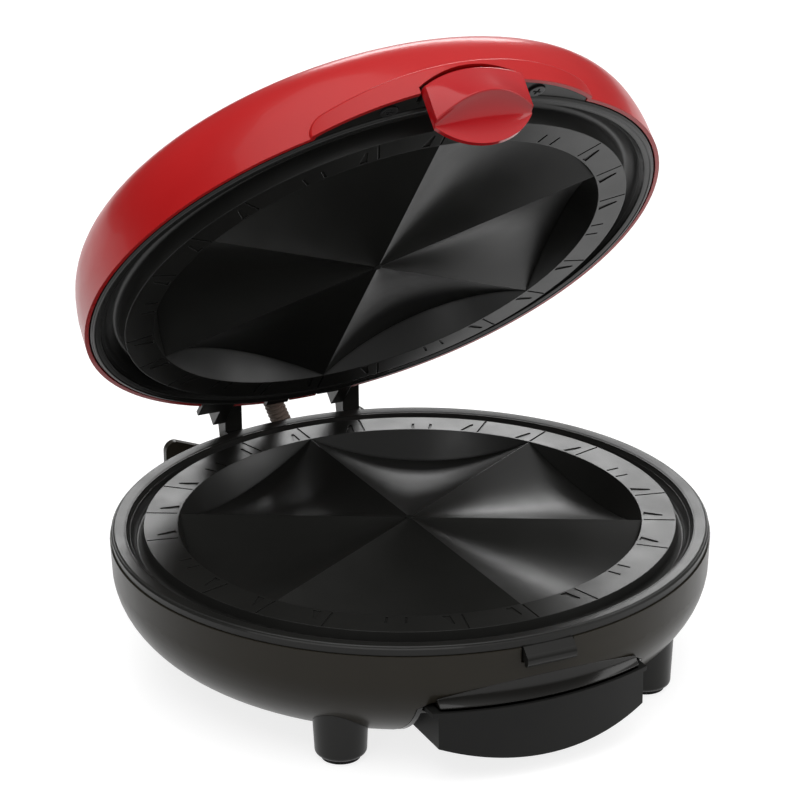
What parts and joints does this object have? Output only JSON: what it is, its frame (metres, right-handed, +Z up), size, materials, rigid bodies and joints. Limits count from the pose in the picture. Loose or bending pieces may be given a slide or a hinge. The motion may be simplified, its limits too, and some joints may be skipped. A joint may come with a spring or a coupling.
{
  "type": "quesadilla maker",
  "caption": "Round countertop quesadilla maker with wedge-pocket plates, hinged domed lid, front latch, slide-out drip tray and rear cord-wrap stand.",
  "frame": {"origin": "on the table, under the middle of the open object's bounding box; the round base's own centre is 15.5 mm in front of it", "axes": "+Z up, -Y towards the latch and the user, +Y towards the hinge, +X to the user's right"},
  "size_m": [0.2874, 0.327, 0.3085],
  "materials": {
    "brown_shell": "satin brown-grey lacquer",
    "black_ring": "satin black moulded plastic",
    "nonstick": "black nonstick coating on a cast plate",
    "steel": "plain steel",
    "pressed_aluminium": "bare pressed sheet",
    "heater_sheath": "darkened sheath",
    "insulator": "off-white ceramic-filled moulding",
    "black_plastic": "matt black moulding",
    "gloss_liner": "gloss black moulding",
    "rubber_pad": "soft black rubber",
    "tray_plastic": "matt charcoal moulding",
    "conduit_rubber": "grey-black ribbed rubber",
    "red_gloss": "bright red gloss",
    "red_lens": "clear red lens",
    "green_lens": "clear green lens"
  },
  "bodies": {
    "base": {"base_shell": "brown_shell", "base_ring": "black_ring", "lower_plate": "nonstick", "lower_heater": "heater_sheath", "lower_reflector": "pressed_aluminium", "lower_plate_screws": "steel", "lower_reflector_screws": "steel", "thermostat": "steel", "lower_thermal_fuse": "insulator", "terminal_block": "insulator", "drip_spout": "black_plastic", "tray_guide": "gloss_liner", "foot_front_left": "black_plastic", "foot_front_right": "black_plastic", "foot_rear_left": "black_plastic", "foot_rear_right": "black_plastic", "foot_pads": "rubber_pad", "foot_screws": "steel", "rear_stand": "brown_shell", "stand_screws": "steel", "cord_gland": "rubber_pad", "conduit_socket": "black_plastic", "conduit": "conduit_rubber", "hinge_pin_left": "steel", "hinge_pin_right": "steel"},
    "lid": {"lid_shell": "red_gloss", "lid_ring": "black_ring", "upper_plate": "nonstick", "upper_heater": "heater_sheath", "upper_reflector": "pressed_aluminium", "upper_plate_screws": "steel", "upper_reflector_screws": "steel", "upper_thermal_fuse": "insulator", "power_lens": "red_lens", "ready_lens": "green_lens", "indicator_lamps": "insulator", "ledge_screws": "steel", "latch_pin": "steel", "latch_spring": "steel"},
    "latch": {"latch_handle": "red_gloss"},
    "tray": {"drip_tray": "tray_plastic"}
  },
  "joints": [
    {"name": "lid_hinge", "type": "hinge", "parent": "base", "child": "lid", "pos_m": [0, 0.133, 0.0875], "axis": [-1, 0, 0], "range_deg": [-47.24, 52.76]},
    {"name": "latch_release", "type": "hinge", "parent": "lid", "child": "latch", "pos_m": [0, -0.07827, 0.29652], "axis": [-1, 0, 0], "range_deg": [0, 15], "stiffness_Nm_per_rad": 0.15, "springref_deg": -17.19},
    {"name": "tray_slide", "type": "slide", "parent": "base", "child": "tray", "axis": [0, -1, 0], "range_m": [0, 0.07]}
  ]
}
